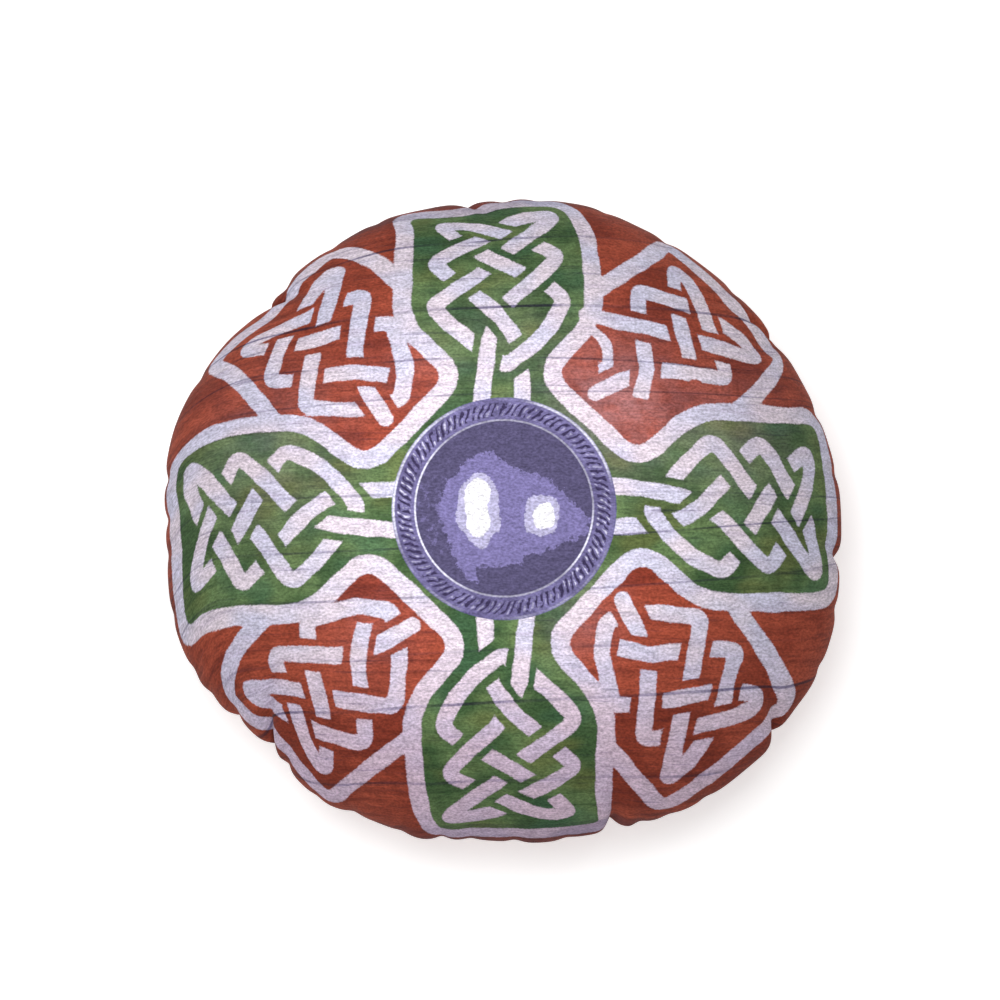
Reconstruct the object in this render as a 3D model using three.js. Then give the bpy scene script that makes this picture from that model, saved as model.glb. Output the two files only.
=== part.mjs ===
// A round stuffed cushion made as a toy round shield. Two discs of plush are sewn together
// round their edge and filled, so each face is crowned and the edge is drawn in where the
// seam gathers. Millimetres, +Z up. The cushion lies on its back: the printed face looks up
// and the top of its picture is toward +Y. The origin is under its middle, on the surface
// that it lies on.

import * as THREE from 'three';
import { mergeVertices } from 'three/addons/utils/BufferGeometryUtils.js';

// Driving dimensions
const SEAM_RADIUS = 189.5;    // mean distance from the middle to the sewn edge, between gathers
const FRONT_RISE = 60;        // seam up to the crown of the printed face
const BACK_DROP = 50;         // seam down to the surface that the back is pressed flat on
const RESTING_RADIUS = 80;    // the back is flat out to here
const SEAM_GAP = 0.3;         // between the two panels, at the seam

// The sewn edge isn't a true circle. It is wider than tall and slightly three-cornered:
// so many waves round the edge, each so deep, with a crest at so many degrees from +X.
const EDGE_WAVES = [
  { waves: 2, depth: 4.9, crest: -10 },
  { waves: 3, depth: 3.2, crest: 79 },
];

// Where the seam gathers the plush, in degrees from +X: how far the edge is drawn in, and
// half the width of the gather in degrees.
const GATHERS = [
  { at: -7, drawnIn: 3.4, half: 7 },
  { at: 33, drawnIn: 4.0, half: 5 },
  { at: 95, drawnIn: 3.0, half: 7 },
  { at: 138, drawnIn: 6.5, half: 7 },
  { at: 180, drawnIn: 3.6, half: 8 },
  { at: 222, drawnIn: 8.4, half: 9 },
  { at: 268, drawnIn: 3.4, half: 10 },
  { at: 289, drawnIn: 2.4, half: 6 },
  { at: 323, drawnIn: 2.4, half: 5 },
];
const CREASE = 0.035;         // share of a face's height lost above each mm that it is drawn in
const CREASE_REACH = 6;       // power of the radius: high keeps a crease near the edge

// The section of each face is a superellipse: 2 is a plain ellipse, more is fuller
const EDGE_FULLNESS = 2.25;
const CROWN_FULLNESS = 2;

const SECTORS = 96;           // facets round the cushion
const RINGS = 14;             // facets from the sewn edge to the crown

// How far the gathers draw the edge in at one place, in millimetres
function drawnInAt(degrees) {
  let total = 0;
  for (const { at, drawnIn, half } of GATHERS) {
    const away = THREE.MathUtils.euclideanModulo(degrees - at + 180, 360) - 180;
    total += drawnIn * Math.exp(-((away / half) ** 2));
  }
  return total;
}

// The sewn edge's distance from the middle, before it is gathered
function edgeRadius(degrees) {
  let radius = SEAM_RADIUS;
  for (const { waves, depth, crest } of EDGE_WAVES) {
    radius += depth * Math.cos(THREE.MathUtils.degToRad(waves * (degrees - crest)));
  }
  return radius;
}

// Half the section of one face, from the sewn edge in to the middle, as points of
// [share of the edge's radius, height]. It is flat out to flatShare.
function crownedSection(height, flatShare) {
  const section = [];
  for (let ring = 0; ring < RINGS; ring += 1) {
    const turn = (Math.PI / 2) * (1 - ring / RINGS);
    const outward = Math.sin(turn) ** (2 / EDGE_FULLNESS);
    const upward = ring === 0 ? 0 : Math.cos(turn) ** (2 / CROWN_FULLNESS);
    section.push([flatShare + (1 - flatShare) * outward, height * upward]);
  }
  section.push([flatShare, height]);
  return flatShare > 0 ? [...section, [0, height]] : section;
}

// Draws a round turned face in to the real edge. It was turned with a radius of 1, and its
// heights are already in millimetres from the seam.
function drawIn(face) {
  const position = face.attributes.position;
  for (let i = 0; i < position.count; i += 1) {
    const x = position.getX(i);
    const y = position.getY(i);
    const degrees = THREE.MathUtils.radToDeg(Math.atan2(y, x));
    const gathered = drawnInAt(degrees) * Math.hypot(x, y) ** CREASE_REACH;
    const radius = edgeRadius(degrees) - gathered;
    position.setXYZ(i, x * radius, y * radius, position.getZ(i) * (1 - CREASE * gathered));
  }
}

// Turns a section round the middle, and gathers it at the edge
function turnedFace(section) {
  const points = section.map(([share, height]) => new THREE.Vector2(share, height));
  const turned = new THREE.LatheGeometry(points, SECTORS);
  turned.rotateX(Math.PI / 2);
  turned.deleteAttribute('normal');
  turned.deleteAttribute('uv');
  const face = mergeVertices(turned, 1e-5);
  drawIn(face);
  return face;
}

// The printed face, crowned above the seam
function frontPanel() {
  return turnedFace([[0, 0], ...crownedSection(FRONT_RISE, 0)]);
}

// The back, pressed flat where the cushion lies on it
function backPanel() {
  const hanging = crownedSection(-BACK_DROP, RESTING_RADIUS / SEAM_RADIUS);
  return turnedFace([...hanging.reverse(), [0, 0]]);
}

function panel(name, face, colour, height) {
  const plush = new THREE.MeshStandardMaterial({ color: colour, roughness: 0.92, metalness: 0 });
  const mesh = new THREE.Mesh(face, plush);
  mesh.name = name;
  mesh.position.z = height;
  return mesh;
}

const cushion = new THREE.Group();
cushion.add(panel('front_panel', frontPanel(), 0xa5553f, BACK_DROP + SEAM_GAP / 2));
cushion.add(panel('back_panel', backPanel(), 0x7c3b2e, BACK_DROP - SEAM_GAP / 2));

// The middle of the whole goes over the origin, and its resting spot to height 0
const box = new THREE.Box3().setFromObject(cushion);
const middle = box.getCenter(new THREE.Vector3());
cushion.position.set(-middle.x, -middle.y, -box.min.z);

export default cushion;
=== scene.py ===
import math

import bpy
import numpy as np
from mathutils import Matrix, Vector


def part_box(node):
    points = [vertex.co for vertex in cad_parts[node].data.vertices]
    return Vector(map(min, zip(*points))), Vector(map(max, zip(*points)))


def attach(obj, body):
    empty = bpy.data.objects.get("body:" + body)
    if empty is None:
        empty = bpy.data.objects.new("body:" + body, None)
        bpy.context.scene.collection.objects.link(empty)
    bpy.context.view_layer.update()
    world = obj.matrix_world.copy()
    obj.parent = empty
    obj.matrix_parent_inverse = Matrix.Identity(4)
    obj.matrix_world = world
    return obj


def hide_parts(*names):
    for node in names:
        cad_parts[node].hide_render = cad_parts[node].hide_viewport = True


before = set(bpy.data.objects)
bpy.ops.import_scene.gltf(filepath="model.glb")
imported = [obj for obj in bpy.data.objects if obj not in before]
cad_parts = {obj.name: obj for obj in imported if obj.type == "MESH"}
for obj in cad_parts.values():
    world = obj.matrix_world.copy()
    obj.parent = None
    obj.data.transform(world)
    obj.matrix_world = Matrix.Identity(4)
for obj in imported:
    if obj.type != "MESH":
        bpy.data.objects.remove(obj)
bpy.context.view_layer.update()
scene = bpy.context.scene


# ---------------------------------------------------------------------------------------
# The cover, sewn and filled. Two discs of plush are cut to one radius and sewn together
# round the edge. The filling crowns both faces, which pulls the sewn edge in, and the
# spare plush gathers into creases that run in from the seam.
# ---------------------------------------------------------------------------------------
MM = 0.001

front_low, front_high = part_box("front_panel")
_, back_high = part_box("back_panel")
seam_height = (front_low[2] + back_high[2]) / 2 / MM
front_rise = front_high[2] / MM - seam_height
seam_radius = (front_high[0] - front_low[0] + front_high[1] - front_low[1]) / 4 / MM

cut_radius = 209            # of the flat discs, out to the stitching
edge_spread = 0.7           # of the stitched edge, past the front panel's mean half width
back_rise = 60              # of the back before it is pressed flat where it lies
edge_fullness = 2.25        # of the crowned section: 2 is an ellipse, more is fuller

# The edge isn't a true circle: waves round it, as (how many, depth, crest in degrees),
# and broad dents and swellings, as (degrees, depth in, half width in degrees).
edge_waves = [(2, 4.9, -10), (3, 3.2, 79)]
edge_dents = [(-7, 3.0, 8), (33, 2.2, 3), (75, -1.8, 7), (95, 2.0, 6), (112, -1.6, 6),
              (138, 6.0, 6), (163, -2.0, 8), (184, 5.0, 11), (222, 8.0, 9), (237, -2.5, 5),
              (255, -2.2, 5), (268, 3.2, 9), (288, 5.0, 10), (325, 2.6, 4)]

# Each crease at the seam: (degrees, spare plush that it takes up, half width, how far it
# runs in, depth at the seam, degrees that it bends by on the way in, and how far the lobe
# beside it hangs over it, towards the greater angles).
deep_creases = [(225, 26, 5.0, 44, 13, -8, 5), (217, 9, 4.0, 22, 5, -3, 2),
                (229, 7, 3.5, 22, 5, -2, 0), (321, 16, 4.5, 30, 11, 5, -3),
                (32, 16, 4.0, 24, 12, 10, -5), (353, 11, 4.5, 22, 6, 2, 0),
                (139, 14, 4.0, 30, 10, -7, 3), (133, 8, 4.5, 26, 4, 0, 0),
                (289, 15, 4.0, 30, 12, 2, 0), (98, 10, 4.5, 26, 6, -5, 2)]
# Small creases between them: (degrees, spare plush)
small_creases = [(8, 3), (19, 4), (45, 3), (60, 4), (72, 2.5), (84, 3), (90, 4), (113, 3), (122, 2.5),
                 (155, 3), (173, 5), (180, 4.5), (186, 3), (196, 3), (206, 4), (211, 4), (236, 3),
                 (243, 4), (252, 3), (259, 6), (264, 3), (272, 4), (281, 3), (294, 5), (299, 3),
                 (306, 3), (335, 3), (345, 4)]
groove_shape = 1.4          # of a crease's section: less is sharper at the bottom
shoulder_height, shoulder_reach = 0.25, 3   # of the swelling beside a crease, in depths and half widths
lobe_middle, lobe_reach = 1.5, 1.6          # of the lobe that hangs over a crease, in half widths
creases = deep_creases + [(place, spare, 4.0, 12 + 1.6 * spare, 0.62 * spare, 0, 0)
                          for place, spare in small_creases]


def degrees_from(angle, place):
    return (angle - place + 180) % 360 - 180


def edge_radius(angle):
    radius = np.full_like(angle, seam_radius + edge_spread)
    for count, depth, crest in edge_waves:
        radius += depth * np.cos(np.radians(count * (angle - crest)))
    for place, depth, half in edge_dents:
        radius -= depth * np.exp(-(degrees_from(angle, place) / half) ** 2)
    return radius


def cut_disc(rings):
    """Ring number and angle of each point of a disc of even triangles, and the triangles."""
    ring, angle, first = [np.zeros(1)], [np.zeros(1)], [0]
    for number in range(1, rings + 1):
        first.append(first[-1] + max(1, 6 * (number - 1)))
        ring.append(np.full(6 * number, number))
        angle.append(np.arange(6 * number) * 60 / number)
    triangles = []
    for number in range(1, rings + 1):
        outer, inner = first[number], first[number - 1]
        inner_count = max(1, 6 * (number - 1))
        for side in range(6):
            for step in range(number):
                out_a = outer + side * number + step
                out_b = outer + (side * number + step + 1) % (6 * number)
                in_a = inner + (side * (number - 1) + step) % inner_count
                triangles.append((out_a, out_b, in_a))
                if step < number - 1:
                    in_b = inner + (side * (number - 1) + step + 1) % inner_count
                    triangles.append((out_b, in_b, in_a))
    return np.concatenate(ring), np.concatenate(angle), np.array(triangles)


def lying_angle(cut_angle, in_from_edge):
    """Where a point of the cut disc lies once its spare plush is taken up in the creases."""
    round_edge = np.linspace(0, 360, 7201)
    plush = np.ones_like(round_edge)
    for place, spare, half, *_ in creases:
        half_turn = half / math.radians(seam_radius)
        gathered = spare / (math.sqrt(math.pi) * half)
        plush += gathered * np.exp(-(degrees_from(round_edge, place) / half_turn) ** 2)
    laid = np.concatenate([[0], np.cumsum((plush[1:] + plush[:-1]) / 2)])
    at_edge = np.interp(cut_angle, laid * 360 / laid[-1], round_edge)
    gathering_reach = 30
    share = np.exp(-(in_from_edge / gathering_reach) ** 2)
    return cut_angle + degrees_from(at_edge, cut_angle) * share


def laid_face(ring, angle, rings, rise, crease_reach):
    """A face as it is laid over the filling, heights from the seam in millimetres."""
    turn = np.linspace(0, math.pi / 2, 2001)
    section_out, section_up = np.sin(turn) ** (2 / edge_fullness), np.cos(turn)
    lengths = np.hypot(np.diff(section_out * seam_radius), np.diff(section_up * rise))
    length = np.concatenate([[0], np.cumsum(lengths)])
    outward = np.interp(ring / rings * length[-1], length, section_out)
    upward = np.interp(outward, section_out, section_up)
    in_from_edge = (1 - ring / rings) * cut_radius
    lying = lying_angle(angle, in_from_edge)
    near_edge = outward ** 4
    radius = outward * (seam_radius * (1 - near_edge) + edge_radius(lying) * near_edge)
    height = rise * upward
    normal_out = (radius / seam_radius) ** (edge_fullness - 1) / seam_radius
    normal_up = upward / rise
    normal_length = np.hypot(normal_out, normal_up)
    sunk = np.zeros_like(radius)
    hung = np.zeros_like(radius)
    for place, _, half, reach, depth, bend, overhang in creases:
        line = place + bend * np.minimum(in_from_edge / reach, 1.5)
        across = np.radians(degrees_from(lying, line)) * radius
        fading = np.exp(-(in_from_edge / (reach * crease_reach)) ** 2)
        groove = np.exp(-(np.abs(across) / half) ** groove_shape)
        shoulders = shoulder_height * np.exp(-(across / (shoulder_reach * half)) ** 2)
        sunk += depth * fading * (groove - shoulders)
        to_lobe = across + np.sign(overhang) * lobe_middle * half
        lobe = np.exp(-(to_lobe / (lobe_reach * half)) ** 2)
        hung += overhang * fading * lobe
    lying = np.radians(lying) + hung / np.maximum(radius, 1)
    radius -= sunk * normal_out / normal_length
    height -= sunk * normal_up / normal_length
    return np.stack([radius * np.cos(lying), radius * np.sin(lying), height], axis=1)


def fill_cover(points, flat_points, triangles, seam_points):
    """Blender's cloth settles the cover under the filling's pressure, held along the seam.
    It is laid close to its filled shape, and no point is let move more than 12 mm from it."""
    mesh = bpy.data.meshes.new("cover")
    mesh.from_pydata((points * MM).tolist(), [], triangles.tolist())
    cover = bpy.data.objects.new("cover", mesh)
    scene.collection.objects.link(cover)
    cover.shape_key_add(name="laid")
    flat = cover.shape_key_add(name="flat")
    flat.data.foreach_set("co", (flat_points * MM).ravel())
    flat.value = 0
    seam = cover.vertex_groups.new(name="seam")
    seam.add(seam_points.tolist(), 1.0, "REPLACE")
    cloth = cover.modifiers.new("filling", "CLOTH")
    plush = cloth.settings
    plush.quality = 6
    plush.mass = 0.3
    plush.tension_stiffness = 30
    plush.compression_stiffness = 15
    plush.shear_stiffness = 10
    plush.bending_stiffness = 0.2
    plush.air_damping = 1
    plush.use_pressure = True
    plush.uniform_pressure_force = 3
    plush.rest_shape_key = flat
    plush.vertex_group_mass = "seam"
    plush.effector_weights.gravity = 0
    cloth.collision_settings.use_collision = False
    last_frame = 15
    cloth.point_cache.frame_start = 1
    cloth.point_cache.frame_end = last_frame
    scene.frame_start = 1
    scene.frame_end = last_frame
    for number in range(1, last_frame + 1):
        scene.frame_set(number)
    filled = cover.evaluated_get(bpy.context.evaluated_depsgraph_get()).to_mesh()
    result = np.empty(len(filled.vertices) * 3)
    filled.vertices.foreach_get("co", result)
    result = result.reshape(-1, 3) / MM
    bpy.data.objects.remove(cover)
    scene.frame_set(1)
    most_moved = 12
    moved = result - points
    distance = np.linalg.norm(moved, axis=1, keepdims=True)
    return points + moved * np.minimum(1, most_moved / np.maximum(distance, 1e-6))


def smoother(points, triangles):
    """One round of Loop's subdivision: each triangle becomes four, on a smooth surface."""
    count = len(points)
    corners = triangles[:, [0, 1, 1, 2, 2, 0]].reshape(-1, 2)
    facing = triangles[:, [2, 0, 1]].reshape(-1)
    pairs, edge_of = np.unique(np.sort(corners, axis=1), axis=0, return_inverse=True)
    edge_of = edge_of.reshape(-1)
    opposite = np.zeros((len(pairs), points.shape[1]))
    np.add.at(opposite, edge_of, points[facing])
    middle = (points[pairs[:, 0]] + points[pairs[:, 1]]) * 3 / 8 + opposite / 8
    ends = pairs.ravel()
    neighbours = np.bincount(ends, minlength=count)
    around = np.zeros_like(points)
    np.add.at(around, ends, points[pairs[:, ::-1].ravel()])
    share = 3 / 8
    eased = points * (1 - share) + around / neighbours[:, None] * share
    a, b, c = triangles.T
    ab, bc, ca = (edge_of.reshape(-1, 3) + count).T
    finer = np.concatenate([np.stack(t, axis=1) for t in
                            ((a, ab, ca), (ab, b, bc), (ca, bc, c), (ab, bc, ca))])
    return np.concatenate([eased, middle]), finer


cloth_rings = 44
ring, angle, disc = cut_disc(cloth_rings)
inside = ring < cloth_rings
seam_points = np.flatnonzero(~inside)
cut_points = np.stack([np.cos(np.radians(angle)), np.sin(np.radians(angle))], axis=1)
cut_points *= (ring / cloth_rings * cut_radius)[:, None]

laid_front = laid_face(ring, angle, cloth_rings, front_rise, 1.0)
laid_back = laid_face(ring, angle, cloth_rings, back_rise, 0.8)[inside] * [1, 1, -1]
laid = np.concatenate([laid_front, laid_back]) + [0, 0, seam_height]
cut = np.concatenate([cut_points, cut_points[inside]])
flat_height = np.concatenate([np.zeros(len(ring)), np.full(inside.sum(), -0.5)])
to_back = np.arange(len(ring))
to_back[inside] += len(ring)
cover = np.concatenate([disc, to_back[disc][:, ::-1]])

filled = fill_cover(laid, np.column_stack([cut, flat_height]), cover, seam_points)

# The back is pressed flat on what it lies on, with an easy turn up from there
turn_up = 8
pressed = np.clip(1 - np.abs(filled[:, 2]) / turn_up, 0, 1) ** 2 * turn_up / 4
filled[:, 2] = np.maximum(filled[:, 2], 0) + pressed

# Each point carries its place on the cut discs along
smoothing_rounds = 2
filled = np.column_stack([filled, cut])
for _ in range(smoothing_rounds):
    filled, cover = smoother(filled, cover)
filled, cut = filled[:, :3], filled[:, 3:]

# The stitching draws the seam in to a narrow groove
seam_dip = 1.8
groove_half_width = 2.4
cut_edge = np.linalg.norm(cut, axis=1)
out_to = cut_edge.max()
drawn_in = seam_dip * np.exp(-((out_to - cut_edge) / groove_half_width) ** 2)
filled[:, :2] *= 1 - (drawn_in / np.maximum(np.linalg.norm(filled[:, :2], axis=1), 1))[:, None]
is_front = np.tile(np.arange(2 * len(disc)) < len(disc), 4 ** smoothing_rounds)


def panel_mesh(name, triangles):
    """One panel's share of the cover, with each point's place on the flat-cut disc in mm."""
    used, renumbered = np.unique(triangles, return_inverse=True)
    mesh = bpy.data.meshes.new(name)
    mesh.from_pydata((filled[used] * MM).tolist(), [], renumbered.reshape(-1, 3).tolist())
    mesh.polygons.foreach_set("use_smooth", np.ones(len(triangles), dtype=bool))
    panel_cut = cut[used]
    layer = mesh.attributes.new("cut", "FLOAT_VECTOR", "POINT")
    layer.data.foreach_set("vector", np.column_stack([panel_cut, np.zeros(len(used))]).ravel())
    corner_points = np.empty(len(mesh.loops), dtype=np.int32)
    mesh.loops.foreach_get("vertex_index", corner_points)
    chart = mesh.uv_layers.new(name="OFBake")
    chart_width = 2.04 * cut_radius
    chart.data.foreach_set("uv", (panel_cut[corner_points] / chart_width + 0.5).ravel())
    return mesh, panel_cut


def add_panel(name, mesh, node_name):
    panel = bpy.data.objects.new(name, mesh)
    scene.collection.objects.link(panel)
    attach(panel, "root")
    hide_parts(node_name)
    return panel


# ---------------------------------------------------------------------------------------
# The front panel: plush printed with a painted plank shield, which has a green cross with
# pale bands and plaits, knots in the rust quarters between its arms, and an iron boss.
# The print is laid out in millimetres on the flat-cut disc, from the middle of the boss.
# ---------------------------------------------------------------------------------------
band_width = 10
ribbon_width = 8.75
ribbon_gap = 4.2            # left between a ribbon and one that it passes under
crossing_reach = 14         # round a crossing, where the ribbon underneath stops short
end_reach = 7               # round the end of a span on top, which keeps out of the next gap
print_turn = 1.3            # degrees that the print is turned anticlockwise on the disc

# Right half of the top arm's edge and upper half of the right arm's: end, side and waist
cross_quarter = [(52.5, 190), (52.5, 105.5), (23, 73), (73, 23), (105.5, 52.5), (190, 52.5)]
cross_rounding = 15

# The ribbon in the top arm, from the boss and back to it
arm_plait = [(-11, 56), (-8.2, 80), (-5.2, 97), (6.5, 117.7), (21, 130), (34.5, 144.7), (25.5, 151),
             (7, 161), (-9, 170), (-21.7, 174), (-31.5, 173), (-24, 161.5), (-10.8, 149), (10.2, 135.5),
             (28.5, 124.5), (36, 117), (28.5, 101), (18, 90), (2.5, 78), (-17, 94), (-26.5, 102.5),
             (-36.5, 115), (-24, 124.5), (-10, 134.5), (8.8, 152.3), (22, 162), (33.7, 170.3),
             (39, 175.5), (25, 175), (9.3, 171), (-10.5, 158), (-25, 150.5), (-36.5, 142.5), (-27, 133),
             (-12.5, 119.7), (-1, 109), (8.3, 95), (11.3, 75), (11.5, 56)]

# The ribbon and the frame in the upper left quarter, with x counted to the left
quarter_knot = [(61.8, 50.5), (70.5, 67.3), (75.8, 88.7), (72.3, 126.5), (84, 124.8), (102, 118.5),
                (120, 115.5), (134.5, 110), (140, 103), (128, 100.5), (107.5, 100.5), (85, 104.7),
                (66, 107), (56, 107), (50, 78), (53.7, 61), (76, 57), (105, 60.5), (99, 90),
                (93.5, 112), (90, 131), (87, 150), (97, 141), (105.5, 128), (116.5, 107),
                (120.5, 92), (124.5, 78), (112.3, 77.3), (93, 78.8), (75.5, 80), (57.5, 75.2), (49.8, 72.5)]
quarter_frame = [(52.5, 130), (87, 170), (161, 107), (122, 52.5)]
ribbon_rounding = 5
frame_rounding = 8

# In the upper right quarter the knot's loop beside the arm was left out, and one ribbon
# runs into the band instead of turning, with a thin hook beside it: (points, width)
odd_quarter = 3
left_out = [([(66, 107), (56, 107), (50, 78), (53.7, 61)], 11.2), ([(88, 56), (99, 57)], 17.5)]
put_in = [([(108, 48), (104.5, 62), (101, 80)], 8.75), ([(101, 48), (94, 56.5), (86, 59), (78, 58)], 5.5)]

# Where the plush lies pulled a little to one side: (x, y, along x, along y, reach)
print_shifts = [(-105, 100, -6.5, -2, 48), (-115, -105, -2.5, -3.5, 45), (-22, 187, 0, -6, 18),
                (-190, -56, 0, 8, 28), (-56, 186, 6, 0, 26)]


def rounded_line(corners, rounding):
    """A line of straight runs with its corners eased into curves."""
    corners = np.array(corners, dtype=float)
    line = [corners[0]]
    for before, corner, after in zip(corners, corners[1:], corners[2:]):
        back, ahead = before - corner, after - corner
        back_length, ahead_length = np.linalg.norm(back), np.linalg.norm(ahead)
        start = corner + back * min(rounding / back_length, 0.5)
        end = corner + ahead * min(rounding / ahead_length, 0.5)
        for t in np.linspace(0, 1, 7):
            line.append((1 - t) ** 2 * start + 2 * t * (1 - t) * corner + t * t * end)
    line.append(corners[-1])
    return np.array(line)


def distance_to(line, points, furthest):
    """How far each point is from a line, up to the furthest that matters."""
    found = np.full(len(points), float(furthest))
    low, high = line.min(axis=0) - furthest, line.max(axis=0) + furthest
    near = np.flatnonzero(((points > low) & (points < high)).all(axis=1))
    for start, end in zip(line, line[1:]):
        run = end - start
        if not run.any():
            continue
        local = points[near] - start
        along = np.clip(local @ run / (run @ run), 0, 1)[:, None]
        found[near] = np.minimum(found[near], np.linalg.norm(local - along * run, axis=1))
    return found


def self_crossings(line):
    """The lengths along a line at which it crosses itself, each with its other length."""
    runs = np.diff(line, axis=0)
    lengths = np.linalg.norm(runs, axis=1)
    so_far = np.concatenate([[0], np.cumsum(lengths)])
    partner = {}
    for i in range(len(runs)):
        for j in range(i + 2, len(runs)):
            turn = runs[i][0] * runs[j][1] - runs[i][1] * runs[j][0]
            if abs(turn) < 1e-9:
                continue
            gap = line[j] - line[i]
            s = (gap[0] * runs[j][1] - gap[1] * runs[j][0]) / turn
            t = (gap[0] * runs[i][1] - gap[1] * runs[i][0]) / turn
            if 0 <= s < 1 and 0 <= t < 1:
                first, second = so_far[i] + s * lengths[i], so_far[j] + t * lengths[j]
                partner[first], partner[second] = second, first
    return so_far, partner


def ribbon_spans(corners):
    """A ribbon in spans, one to a crossing, over and under in turn. Each span comes with
    the crossings that it stops short of: the place, the way the ribbon on top runs, and
    the middle and the reach of the part that stops."""
    line = rounded_line(corners, ribbon_rounding)
    so_far, partner = self_crossings(line)

    def place_at(length):
        return np.array([np.interp(length, so_far, line[:, axis]) for axis in (0, 1)])

    places = sorted(partner)
    limits = [0] + [(a + b) / 2 for a, b in zip(places, places[1:])] + [so_far[-1]]
    pieces = []
    for number, (low, high) in enumerate(zip(limits, limits[1:])):
        inner = (so_far > low) & (so_far < high)
        span = np.concatenate([[place_at(low)], line[inner], [place_at(high)]])
        if number % 2 == 1:
            unders = [(number, place_at(places[number]), crossing_reach)]
        else:
            unders = [(number - 1, span[0], end_reach), (number + 1, span[-1], end_reach)]
        crossings = []
        for under, middle, reach in unders:
            if 0 <= under < len(places):
                on_top = partner[places[under]]
                run = place_at(on_top + 1) - place_at(on_top - 1)
                crossings.append((place_at(places[under]), run / np.linalg.norm(run), middle, reach))
        pieces.append((span, crossings))
    return pieces


def ribbon_field(pieces, points):
    """Signed distance from a ribbon's edge: below zero inside it."""
    reach = ribbon_width / 2 + ribbon_gap
    field = np.full(len(points), float(reach))
    for span, crossings in pieces:
        shape = distance_to(span, points, 2 * reach) - ribbon_width / 2
        for crossing, run, middle, within in crossings:
            local = points - crossing
            across = np.abs(local[:, 0] * run[1] - local[:, 1] * run[0])
            near = np.linalg.norm(points - middle, axis=1) < within
            shape = np.where(near, np.maximum(shape, reach - across), shape)
        field = np.minimum(field, shape)
    return field


def is_inside(outline, points):
    inside = np.zeros(len(points), dtype=bool)
    x, y = points.T
    for (x0, y0), (x1, y1) in zip(outline, outline[1:]):
        if y0 != y1:
            inside ^= ((y0 > y) != (y1 > y)) & (x < x0 + (y - y0) * (x1 - x0) / (y1 - y0))
    return inside


def quarter_turned(points, quarters):
    """Points turned clockwise by so many quarter turns."""
    for _ in range(quarters):
        points = np.column_stack([points[:, 1], -points[:, 0]])
    return points


def printed_fields(points):
    """Signed distances from the edges of the pale paint and of the green field."""
    furthest = 20
    arm_top = rounded_line([(0, 190)] + cross_quarter + [(190, 0)], cross_rounding)
    outline = np.concatenate([quarter_turned(arm_top, turns)[:-1] for turns in range(4)] + [arm_top[:1]])
    to_outline = distance_to(outline, points, furthest)
    green = np.where(is_inside(outline, points), -to_outline, to_outline)
    pale = to_outline - band_width / 2
    plait, knot = ribbon_spans(arm_plait), ribbon_spans(quarter_knot)
    frame_line = rounded_line(quarter_frame, frame_rounding)
    for turns in range(4):
        arm_points = quarter_turned(points, turns)
        quarter_points = arm_points * [-1, 1]
        knot_field = ribbon_field(knot, quarter_points)
        if turns == odd_quarter:
            for corners, width in left_out:
                line = np.array(corners, dtype=float)
                bare = width / 2 - distance_to(line, quarter_points, furthest)
                knot_field = np.maximum(knot_field, bare)
            for corners, width in put_in:
                line = rounded_line(corners, ribbon_rounding)
                added = distance_to(line, quarter_points, furthest) - width / 2
                knot_field = np.minimum(knot_field, added)
        frame_field = distance_to(frame_line, quarter_points, furthest) - band_width / 2
        for field in (ribbon_field(plait, arm_points), knot_field, frame_field):
            pale = np.minimum(pale, field)
    return pale, green


# The boss: a rope-like rim and a dome painted in flat tones, lightest inside two highlights
boss_radius, rope_outside, rope_inside, dome_radius = 60.3, 57.2, 50.2, 47.6
rope_strands = 88
strand_lean = 0.0105        # radians clockwise for each millimetre further out
sheen_patch = [(-22, 24), (-14, 30), (-7, 30), (6, 21), (15, 20), (30, 11), (37, 2), (46, -5), (46, -11),
               (40, -17), (30, -19), (20, -25), (11, -25), (9, -31), (-12, -31), (-16, -35), (-12, -40),
               (-18, -40), (-25, -31), (-28, -23), (-33, -10), (-37, 1), (-32, 6), (-31, 15), (-25, 19)]
halo_patches = [[(-16, 19), (-8, 18), (-3, 9), (-2, -13), (-7, -15), (-8, -20), (-12, -24), (-18, -18),
                 (-26, -9), (-24, 10)],
                [(13, 6.5), (26, 6.5), (30, 2.5), (29, -8), (26, -15), (16, -15.5), (10.5, -12), (10.5, -4)]]
highlights = [[(-14, 16.5), (-8, 13), (-7, 6), (-9.5, 0), (-7, -6), (-8.5, -13.5), (-14, -17), (-20, -12),
               (-20.5, -2), (-22, 6), (-19, 14)],
              [(23.5, 4), (27, -1), (27.5, -9), (22, -12), (15.5, -10), (15.5, -1)]]


def patch_field(patches, points):
    """Signed distance from the edges of some rounded patches."""
    rounding, furthest = 5, 10
    field = np.full(len(points), float(furthest))
    for corners in patches:
        middle = (np.array(corners[0]) + corners[-1]) / 2
        outline = rounded_line([middle, *corners, middle], rounding)
        away = distance_to(outline, points, furthest)
        field = np.minimum(field, np.where(is_inside(outline, points), -away, away))
    return field


def add_field(mesh, name, values):
    layer = mesh.attributes.new(name, "FLOAT", "POINT")
    layer.data.foreach_set("value", np.ascontiguousarray(values, dtype=np.float32))


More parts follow.
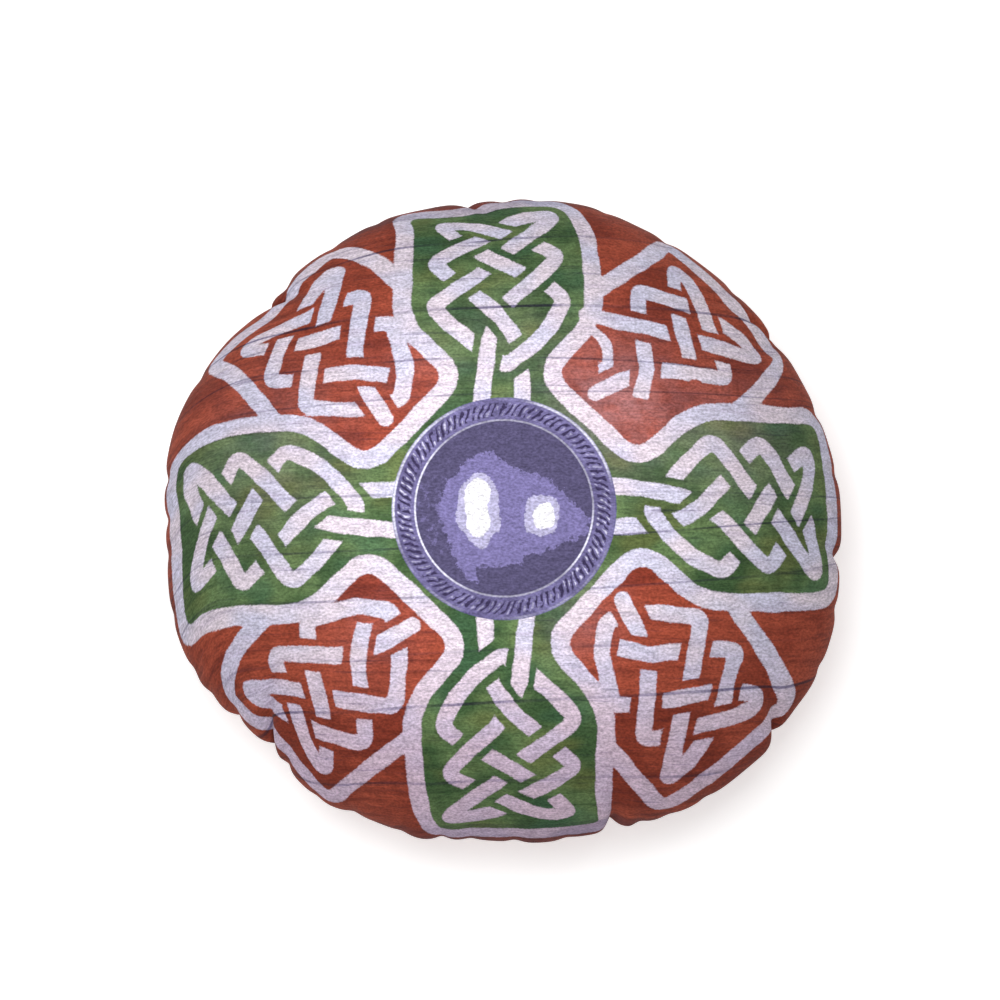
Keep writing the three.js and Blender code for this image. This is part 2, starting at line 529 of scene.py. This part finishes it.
front_mesh, front_cut = panel_mesh("printed_front", cover[is_front])
turn = math.radians(print_turn)
print_place = front_cut @ np.array([[math.cos(turn), -math.sin(turn)], [math.sin(turn), math.cos(turn)]])
for x, y, shift_x, shift_y, reach in print_shifts:
    near = np.exp(-((print_place - (x, y)) ** 2).sum(axis=1) / reach ** 2)
    print_place = print_place - near[:, None] * (shift_x, shift_y)
pale, green = printed_fields(print_place)
add_field(front_mesh, "pale", pale)
add_field(front_mesh, "green", green)
for name, patches in (("sheen", [sheen_patch]), ("halo", halo_patches), ("highlight", highlights)):
    add_field(front_mesh, name, patch_field(patches, front_cut))

# Painted sheen where the pile of the front stands up, lighter and a little pink: (x, y, reach, how much
# lighter)
painted_sheen_patches = [(60, 58, 34, 0.24), (-48, 78, 24, 0.06), (40, -58, 22, 0.12), (-70, -66, 26, 0.05),
                   (-125, 34, 42, 0.10), (130, 42, 32, 0.12), (0, 95, 30, 0.06)]
painted_sheen = sum(amount * np.exp(-((front_cut - (x, y)) ** 2).sum(axis=1) / reach ** 2)
              for x, y, reach, amount in painted_sheen_patches)
add_field(front_mesh, "painted_sheen", painted_sheen)

# The gaps between the printed planks: (height in the middle, rise to the right in 100 mm,
# bow upwards over 100 mm, how dark)
plank_gaps = [(-182, 0, 0, 0.5), (-150, 1, 1, 0.6), (-104, 3, 1, 0.8), (-76, 2, 0, 0.3), (-46, 3, 2, 0.5),
              (-19, 4, 2, 0.7), (8, -1, 0, 0.5), (36, 0, 1, 0.2), (63, 1, -1, 0.5), (83, -2, -2, 0.6),
              (113, 1, -1, 0.9), (158, 3, -2, 0.8), (184, 1, -1, 0.4)]


def plank_number(points):
    """Which plank a point is on, whole at the gap below it and rising to the next."""
    across = points[:, 0] / 100
    gaps = np.array([low + rise * across + bow * across ** 2 for low, rise, bow, _ in plank_gaps])
    number = np.zeros(len(points))
    for low, high in zip(gaps, gaps[1:]):
        number += np.clip((points[:, 1] - low) / (high - low), 0, 1)
    return number


def gap_darkness(numbers):
    dark = [darkness for *_, darkness in plank_gaps]
    return np.interp(numbers, range(len(dark)), dark)


plank = plank_number(print_place)
add_field(front_mesh, "plank", plank)
add_field(front_mesh, "gap", gap_darkness(plank))


def new_finish(name):
    """A material, and functions that add a node to it and give back its first output."""
    material = bpy.data.materials.new(name)
    material.use_nodes = True
    tree = material.node_tree

    def node(kind, inputs=(), output=0, **settings):
        made = tree.nodes.new("ShaderNode" + kind)
        for setting, value in settings.items():
            setattr(made, setting, value)
        for socket, value in dict(inputs).items():
            if isinstance(value, bpy.types.NodeSocket):
                tree.links.new(value, made.inputs[socket])
            else:
                made.inputs[socket].default_value = value
        return made.outputs[output]

    return material, node


def paint_mixer(node):
    """Short ways to add sums, noise, edges and mixed paints with one finish's nodes."""
    def sum_of(operation, *values):
        return node("Math", enumerate(values), operation=operation)

    def scaled(place, *scale):
        return node("VectorMath", {0: place, 1: scale}, operation="MULTIPLY")

    def noise(place, size, detail=2.0, roughness=0.5):
        """Soft blotches about so many millimetres across, from 0 to 1."""
        inputs = {"Vector": place, "Scale": 1 / size, "Detail": detail, "Roughness": roughness}
        return node("TexNoise", inputs)

    def ramp(value, low, high, bottom=0.0, top=1.0):
        inputs = {"Value": value, "From Min": low, "From Max": high, "To Min": bottom, "To Max": top}
        return node("MapRange", inputs, interpolation_type="SMOOTHSTEP")

    def mixed(amount, first, second, blend="MIX"):
        inputs = {0: amount, 6: first, 7: second}
        return node("Mix", inputs, output=2, data_type="RGBA", blend_type=blend)

    return sum_of, scaled, noise, ramp, mixed


def paint(red, green, blue):
    """A colour given in everyday 0 to 255 steps, for a shader socket."""
    steps = [value / 255 for value in (red, green, blue)]
    return [v / 12.92 if v <= 0.04045 else ((v + 0.055) / 1.055) ** 2.4 for v in steps] + [1.0]


def plank_print(node):
    """The planks printed on both panels: long streaks and short cracks along the wood, a
    stain that changes a little from plank to plank, and dark gaps between them."""
    sum_of, scaled, noise, ramp, mixed = paint_mixer(node)
    place = node("Attribute", output=1, attribute_name="cut")
    plank_place = node("Attribute", output=2, attribute_name="plank")
    gap_strength = node("Attribute", output=2, attribute_name="gap")
    streaks = noise(scaled(place, 1.0, 12.0, 1.0), 60, 4.0, 0.65)
    cracks = ramp(noise(scaled(place, 1.0, 20.0, 1.0), 62, 3.0, 0.55), 0.62, 0.70)
    hairlines = ramp(noise(scaled(place, 1.0, 16.0, 1.0), 24, 2.0, 0.6), 0.60, 0.70)
    from_gap = sum_of("PINGPONG", plank_place, 0.5)
    gap_fade = ramp(noise(scaled(place, 1.0, 3.0, 1.0), 45, 2.0), 0.38, 0.60, 0.35, 1.0)
    gap_line = sum_of("MULTIPLY", ramp(from_gap, 0.032, 0.012), sum_of("MULTIPLY", gap_strength, gap_fade))
    wood_dark = sum_of("MAXIMUM", gap_line, sum_of("MULTIPLY", cracks, 0.45))
    wood_dark = sum_of("MAXIMUM", wood_dark, sum_of("MULTIPLY", hairlines, 0.3))
    blotches = noise(place, 34, 3.0)
    own_shade = node("TexWhiteNoise", {"W": sum_of("FLOOR", plank_place)}, noise_dimensions="1D")
    stain = sum_of("MULTIPLY_ADD", own_shade, 0.25, sum_of("MULTIPLY_ADD", blotches, 1.0, -0.12))
    rust = mixed(ramp(stain, 0.35, 0.65), paint(143, 60, 43), paint(176, 82, 60))
    rust = mixed(ramp(streaks, 0.42, 0.7, 0.0, 0.6), rust, paint(106, 40, 31))
    return place, streaks, blotches, wood_dark, rust


def pile_with_painted_light(finish, node, colours):
    """The pile of the plush: short tufts that each lie their own way, laid in streaks, which vary the colour
    at random with a painted sparkle and sheen, and raise the bump.
    A painted shade darkens the colour towards the rim, and a painted shade draws a dark line in the groove
    where the panels are sewn."""
    sum_of, scaled, noise, ramp, _ = paint_mixer(node)
    place = node("Attribute", output=1, attribute_name="cut")
    from_middle = node("VectorMath", {0: place}, output=1, operation="LENGTH")
    # Painted shade: the colour darkens from around the boss out towards the rim, on both panels
    painted_rim_shade = ramp(from_middle, 62, 160, 0.96, 0.70)
    tufts = noise(scaled(place, 0.75, 1.2, 1.0), 1.35, 2.0, 0.6)
    lie = noise(scaled(place, 1.0, 2.4, 1.0), 7, 3.0, 0.6)
    # Random tone of the pile, with a painted sparkle and sheen where the tufts would catch the light
    pile_tone_and_painted_sparkle = sum_of("MULTIPLY", ramp(tufts, 0.3, 0.7, 0.70, 1.22), ramp(lie, 0.32, 0.68, 0.86, 1.12))
    # Painted shade in the groove where the panels are sewn: a dark line along the seam
    painted_seam_shade = ramp(from_middle, painted_seam_shade_inside, painted_seam_shade_inside + 1.4, 1.0, 0.6)
    shade = sum_of("MULTIPLY", sum_of("MULTIPLY", pile_tone_and_painted_sparkle, painted_rim_shade), painted_seam_shade)
    colours = node("VectorMath", {0: colours, "Scale": shade}, operation="SCALE")
    height = sum_of("ADD", sum_of("MULTIPLY", tufts, 0.5), sum_of("MULTIPLY", lie, 0.9))
    relief = node("Bump", {"Height": height, "Strength": 0.6, "Distance": 0.0009})
    surface = finish.node_tree.nodes["Principled BSDF"]
    surface.inputs["Roughness"].default_value = 0.9
    surface.inputs["Sheen Weight"].default_value = 0.04
    surface.inputs["Sheen Roughness"].default_value = 0.5
    surface.inputs["Specular IOR Level"].default_value = 0.12
    finish.node_tree.links.new(colours, surface.inputs["Base Color"])
    finish.node_tree.links.new(relief, surface.inputs["Normal"])


# Where the painted shade of the seam groove begins, just inside the sewn edge
painted_seam_shade_inside = np.linalg.norm(front_cut, axis=1).max() - 1.6

front_plush, node = new_finish("printed_plush")
sum_of, scaled, noise, ramp, mixed = paint_mixer(node)
place, streaks, blotches, wood_dark, rust = plank_print(node)
pale_edge = node("Attribute", output=2, attribute_name="pale")
green_edge = node("Attribute", output=2, attribute_name="green")

# The brush wanders a little, and the pile breaks up every edge
wander = sum_of("MULTIPLY_ADD", noise(place, 14, 1.0), 2.4, -1.2)
pile_break = sum_of("MULTIPLY_ADD", noise(place, 1.3, 3.0, 0.7), 2.0, -1.0)
edge_shift = sum_of("ADD", wander, pile_break)
is_pale = ramp(sum_of("ADD", pale_edge, edge_shift), 0.5, -0.5)
is_green = ramp(sum_of("ADD", green_edge, edge_shift), 0.5, -0.5)

# Green cross, olive in places and teal in others
other_blotches = noise(scaled(place, 1.0, 1.6, 1.0), 55, 2.0)
leaf = mixed(ramp(blotches, 0.4, 0.6), paint(70, 98, 60), paint(108, 134, 86))
leaf = mixed(ramp(other_blotches, 0.50, 0.66, 0.0, 0.6), leaf, paint(112, 118, 66))
leaf = mixed(ramp(other_blotches, 0.48, 0.34, 0.0, 0.45), leaf, paint(66, 110, 84))
leaf = mixed(ramp(streaks, 0.45, 0.72, 0.0, 0.6), leaf, paint(46, 70, 44))
ground = mixed(is_green, rust, leaf)

# Pale bands and ribbons, pinkish in places and bluish in others
milk = mixed(ramp(other_blotches, 0.4, 0.62), paint(238, 224, 236), paint(222, 219, 242))
milk = mixed(ramp(streaks, 0.45, 0.75, 0.0, 0.4), milk, paint(184, 166, 198))
across_and_up = node("SeparateXYZ", {0: place}).node.outputs
milk = mixed(ramp(across_and_up[1], -50, -150, 0.0, 0.6), milk, paint(220, 184, 210))
colours = mixed(is_pale, ground, milk)

# Where the pile stands up, a painted sheen makes it look lighter and a little pink
painted_sheen_mask = node("Attribute", output=2, attribute_name="painted_sheen")
painted_sheen_mask = sum_of("MULTIPLY", painted_sheen_mask, ramp(noise(place, 12, 3.0), 0.3, 0.6, 0.5, 1.0))
colours = mixed(painted_sheen_mask, colours, paint(226, 196, 208))
wood_tint = mixed(is_pale, paint(38, 34, 52), paint(96, 88, 132))
colours = mixed(sum_of("MULTIPLY", wood_dark, 0.95), colours, wood_tint)

# The boss over it all: a rope rim round flat tones with ragged edges
from_middle = node("VectorMath", {0: place}, output=1, operation="LENGTH")
direction = node("VectorMath", {0: place}, operation="NORMALIZE")


def towards(bearing, low, high):
    """How much a place on the boss lies towards a bearing in degrees."""
    aim = (math.cos(math.radians(bearing)), math.sin(math.radians(bearing)), 0)
    return ramp(node("VectorMath", {0: direction, 1: aim}, output=1, operation="DOT_PRODUCT"), low, high)


turned = sum_of("ARCTAN2", across_and_up[1], across_and_up[0])
strand_wander = sum_of("MULTIPLY_ADD", noise(place, 7, 2.0), 0.11, -0.055)
strand_turn = sum_of("ADD", sum_of("MULTIPLY_ADD", from_middle, strand_lean, turned), strand_wander)
strand = sum_of("SINE", sum_of("MULTIPLY", strand_turn, rope_strands))
strand = sum_of("ADD", strand, sum_of("MULTIPLY_ADD", noise(place, 3.5, 2.0), 3.0, -1.5))
in_rope = sum_of("MULTIPLY", ramp(from_middle, rope_inside - 0.6, rope_inside + 0.6),
                 ramp(from_middle, rope_outside + 0.6, rope_outside - 0.6))
lit_rope = sum_of("MAXIMUM", towards(162, 0.6, 0.95), towards(338, 0.75, 0.95))
iron = mixed(ramp(noise(place, 20), 0.35, 0.65), paint(104, 97, 140), paint(124, 117, 164))
rim = mixed(sum_of("MULTIPLY", ramp(strand, 0.2, 0.7), in_rope), iron, paint(62, 54, 88))
glints = sum_of("MULTIPLY", ramp(strand, -0.75, -1.3), in_rope)
glints = sum_of("MULTIPLY", glints, sum_of("MULTIPLY_ADD", lit_rope, 0.65, 0.35))
rim = mixed(glints, rim, paint(214, 210, 236))
edge_light = sum_of("MAXIMUM", towards(46, 0.80, 0.96), towards(158, 0.70, 0.92))
edge_light = sum_of("MULTIPLY_ADD", edge_light, 0.7, ramp(noise(place, 26), 0.40, 0.62, 0.0, 0.3))
rim = mixed(sum_of("MULTIPLY", ramp(from_middle, boss_radius - 2.0, boss_radius - 1.1), edge_light), rim,
            paint(228, 226, 246))
edge_shade = ramp(from_middle, boss_radius - 0.8, boss_radius - 0.2, 0.0, 0.5)
rim = mixed(edge_shade, rim, paint(84, 84, 132))

dome_tones = (("sheen", 1.0, paint(126, 118, 168)), ("halo", 0.42, paint(186, 181, 214)),
              ("highlight", 0.3, paint(246, 244, 250)))
dome_streaks = noise(place, 5, 4.0, 0.75)
dome = mixed(sum_of("MULTIPLY", ramp(dome_streaks, 0.52, 0.60), towards(185, 0.75, 0.95)),
             paint(88, 82, 116), paint(110, 103, 146))
ragged = sum_of("MULTIPLY_ADD", noise(place, 4.2, 4.0, 0.75), 14.0, -7.0)
for name, raggedness, tone in dome_tones:
    shape = node("Attribute", output=2, attribute_name=name)
    dome = mixed(ramp(sum_of("MULTIPLY_ADD", ragged, raggedness, shape), 0.35, -0.35), dome, tone)
lit_line = sum_of("MAXIMUM", towards(190, 0.45, 0.85), towards(336, 0.90, 0.99))
lit_line = sum_of("MULTIPLY_ADD", lit_line, 0.6, 0.4)
dome = mixed(sum_of("MULTIPLY", ramp(from_middle, dome_radius - 0.6, dome_radius - 0.1), lit_line), dome,
             paint(226, 224, 244))
boss = mixed(ramp(from_middle, dome_radius + 0.9, dome_radius + 0.4), rim, dome)
on_boss = ramp(sum_of("MULTIPLY_ADD", pile_break, 0.4, from_middle), boss_radius + 0.3, boss_radius - 0.3)
colours = mixed(on_boss, colours, boss)

pile_with_painted_light(front_plush, node, colours)
front_mesh.materials.append(front_plush)
add_panel("printed_front", front_mesh, "front_panel")


# ---------------------------------------------------------------------------------------
# The back panel: the same plush, printed with bare stained planks and nothing else. It is
# sewn to the front panel round the edge and pressed flat where the cushion lies on it.
# ---------------------------------------------------------------------------------------
back_mesh, back_cut = panel_mesh("plank_back", cover[~is_front])
plank = plank_number(back_cut)
add_field(back_mesh, "plank", plank)
add_field(back_mesh, "gap", gap_darkness(plank))

back_plush, node = new_finish("plank_plush")
sum_of, *_, mixed = paint_mixer(node)
*_, wood_dark, rust = plank_print(node)
colours = mixed(sum_of("MULTIPLY", wood_dark, 0.95), rust, paint(38, 34, 52))
pile_with_painted_light(back_plush, node, colours)
back_mesh.materials.append(back_plush)
add_panel("plank_back", back_mesh, "back_panel")


# ---------------------------------------------------------------------------------------
# The studio: a plain white table that glows a little and sweeps up to a low wall, one soft
# light close above the cushion, and a camera that looks almost straight down on it.
# ---------------------------------------------------------------------------------------
table_reach, sweep_radius, sweep_height = 12, 2, 6
round_count = 96
floor_glow = 0.55
sweep = [(table_reach + sweep_radius * math.sin(turn), sweep_radius * (1 - math.cos(turn)))
         for turn in np.linspace(0, math.pi / 2, 9)]
sweep.append((table_reach + sweep_radius, sweep_height))
floor_points = [(0, 0, 0)]
floor_faces = []
for level, (out, up) in enumerate(sweep):
    for number in range(round_count):
        turn = 2 * math.pi * number / round_count
        beside = (number + 1) % round_count
        low, high = 1 + (level - 1) * round_count, 1 + level * round_count
        floor_points.append((out * math.cos(turn), out * math.sin(turn), up))
        if level == 0:
            floor_faces.append((0, 1 + number, 1 + beside))
        else:
            floor_faces.append((low + number, high + number, high + beside, low + beside))
floor_mesh = bpy.data.meshes.new("floor")
floor_mesh.from_pydata(floor_points, [], floor_faces)
floor_mesh.polygons.foreach_set("use_smooth", np.ones(len(floor_faces), dtype=bool))
floor = bpy.data.objects.new("floor", floor_mesh)
scene.collection.objects.link(floor)

white_table, node = new_finish("white_table")
_, _, noise, _, mixed = paint_mixer(node)
table_place = node("TexCoord", output=3)
table_white = mixed(noise(table_place, 0.4), paint(241, 241, 241), paint(244, 244, 244))
table = white_table.node_tree.nodes["Principled BSDF"]
white_table.node_tree.links.new(table_white, table.inputs["Base Color"])
table.inputs["Emission Color"].default_value = (1, 1, 1, 1)
table.inputs["Emission Strength"].default_value = floor_glow
floor_mesh.materials.append(white_table)

room_light = 0.12
studio = bpy.data.worlds.new("studio")
scene.world = studio
studio.use_nodes = True
studio.node_tree.nodes["Background"].inputs[0].default_value = (1, 1, 1, 1)
studio.node_tree.nodes["Background"].inputs[1].default_value = room_light

light_power = 3.6
light_size = 0.45
light_place = (-0.08, 0.07, 0.62)
key = bpy.data.lights.new("key", "AREA")
key.energy = light_power
key.size = light_size
key_light = bpy.data.objects.new("key", key)
key_light.location = light_place
towards_cushion = Vector((0, 0, seam_height * MM)) - key_light.location
key_light.rotation_euler = towards_cushion.to_track_quat("-Z", "Y").to_euler()
scene.collection.objects.link(key_light)

camera_distance = 1.2
camera_tilt = math.radians(8)
view_width = 0.563
film_width = 36
aim_left, aim_up = 0.0022, 0.0124
lens = bpy.data.cameras.new("camera")
lens.sensor_width = film_width
lens.lens = film_width * camera_distance / view_width
camera = bpy.data.objects.new("camera", lens)
up_in_view = Vector((0, math.cos(camera_tilt), math.sin(camera_tilt)))
aim = Vector((-aim_left, 0, seam_height * MM)) + up_in_view * aim_up
back_off = Vector((0, -math.sin(camera_tilt), math.cos(camera_tilt))) * camera_distance
camera.location = aim + back_off
camera.rotation_euler = (camera_tilt, 0, 0)
scene.collection.objects.link(camera)
scene.camera = camera
scene.view_settings.view_transform = "Standard"
